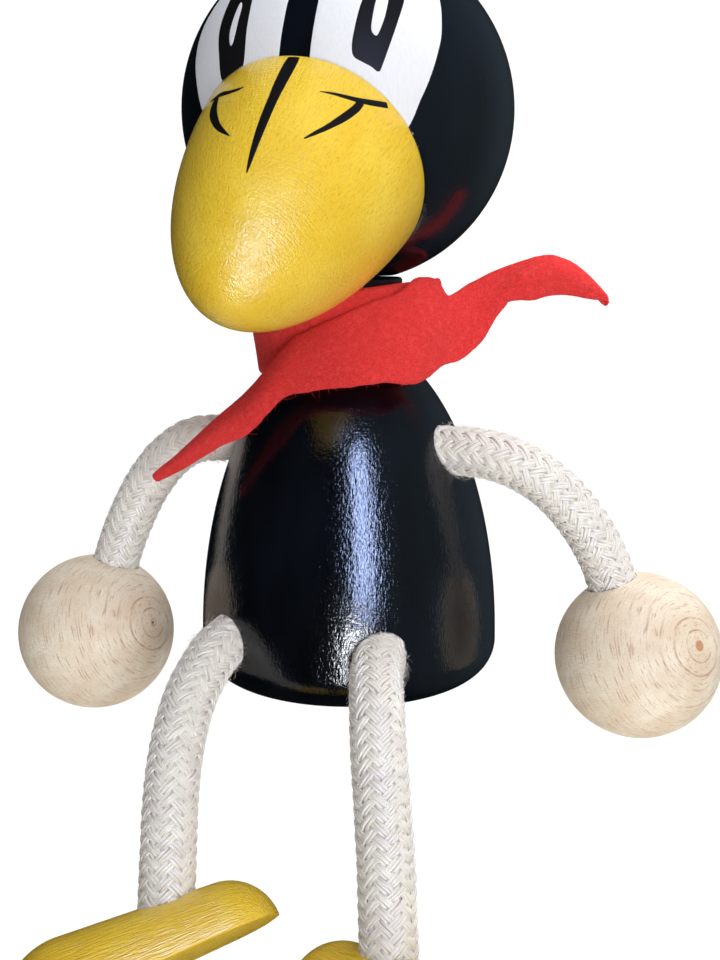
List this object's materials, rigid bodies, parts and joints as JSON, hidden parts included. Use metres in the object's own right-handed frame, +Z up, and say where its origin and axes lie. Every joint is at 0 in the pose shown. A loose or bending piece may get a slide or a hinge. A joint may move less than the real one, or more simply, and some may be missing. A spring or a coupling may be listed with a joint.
{
  "type": "hanging crow puppet",
  "caption": "Hanging wooden crow puppet: turned head, egg-shaped bill and body, felt scarf, braided rope arms and legs with ball hands and half-round feet.",
  "frame": {"origin": "centre of the hanging ring above the head", "axes": "+Z up, the crow faces -Y, its own left hand is on +X"},
  "size_m": [0.1326, 0.1084, 0.1874],
  "materials": {
    "black_lacquer": "gloss black lacquer, brushed",
    "yellow_lacquer": "satin yellow lacquer over grain",
    "bare_beech": "sanded, bare",
    "white_rope": "braided cord, slight sheen",
    "red_felt": "pressed felt, fuzzy",
    "steel": "bright wire"
  },
  "bodies": {
    "head": {"head": "black_lacquer", "bill": "yellow_lacquer", "bill_dowel": "bare_beech", "hanging_eye": "steel"},
    "torso": {"body": "black_lacquer", "neck_peg": "bare_beech", "scarf": "red_felt"},
    "left_arm": {"left_arm_rope": "white_rope"},
    "left_hand": {"left_hand": "bare_beech"},
    "right_arm": {"right_arm_rope": "white_rope"},
    "right_hand": {"right_hand": "bare_beech"},
    "left_leg": {"left_leg_rope": "white_rope"},
    "left_foot": {"left_foot": "yellow_lacquer"},
    "right_leg": {"right_leg_rope": "white_rope"},
    "right_foot": {"right_foot": "yellow_lacquer"}
  },
  "joints": [
    {"name": "neck_swivel", "type": "hinge", "parent": "head", "child": "torso", "pos_m": [0, 0, -0.0646], "axis": [0, 0, 1], "range_deg": [-30, 30]},
    {"name": "left_shoulder", "type": "hinge", "parent": "torso", "child": "left_arm", "pos_m": [0.02113, -0.00373, -0.09549], "axis": [0, -1, 0], "range_deg": [-8, 60], "stiffness_Nm_per_rad": 0.02, "springref_deg": 10.89, "deforming": ["left_arm_rope"]},
    {"name": "right_shoulder", "type": "hinge", "parent": "torso", "child": "right_arm", "pos_m": [-0.02113, -0.00373, -0.09549], "axis": [0, 1, 0], "range_deg": [-8, 60], "stiffness_Nm_per_rad": 0.02, "springref_deg": 8.59, "deforming": ["right_arm_rope"]},
    {"name": "left_wrist_twist", "type": "hinge", "parent": "left_arm", "child": "left_hand", "pos_m": [0.0554, 0.0022, -0.1322], "axis": [-0.346, -0.0757, 0.9352], "range_deg": [-40, 40], "stiffness_Nm_per_rad": 0.002},
    {"name": "right_wrist_twist", "type": "hinge", "parent": "right_arm", "child": "right_hand", "pos_m": [-0.0472, -0.0156, -0.1334], "axis": [0.2485, 0.1601, 0.9553], "range_deg": [-40, 40], "stiffness_Nm_per_rad": 0.002},
    {"name": "left_hip", "type": "hinge", "parent": "torso", "child": "left_leg", "pos_m": [0.0146, -0.02429, -0.12979], "axis": [-1, 0, 0], "range_deg": [-25, 45], "stiffness_Nm_per_rad": 0.02, "springref_deg": 5.16, "deforming": ["left_leg_rope"]},
    {"name": "right_hip", "type": "hinge", "parent": "torso", "child": "right_leg", "pos_m": [-0.0146, -0.02429, -0.12979], "axis": [-1, 0, 0], "range_deg": [-25, 45], "stiffness_Nm_per_rad": 0.02, "springref_deg": 5.16, "deforming": ["right_leg_rope"]},
    {"name": "left_ankle_twist", "type": "hinge", "parent": "left_leg", "child": "left_foot", "pos_m": [0.0262, -0.0526, -0.1667], "axis": [0.2005, -0.4626, -0.8636], "range_deg": [-35, 35], "stiffness_Nm_per_rad": 0.003},
    {"name": "right_ankle_twist", "type": "hinge", "parent": "right_leg", "child": "right_foot", "pos_m": [-0.0114, -0.0546, -0.1639], "axis": [0.1753, -0.4481, -0.8766], "range_deg": [-35, 35], "stiffness_Nm_per_rad": 0.003}
  ]
}
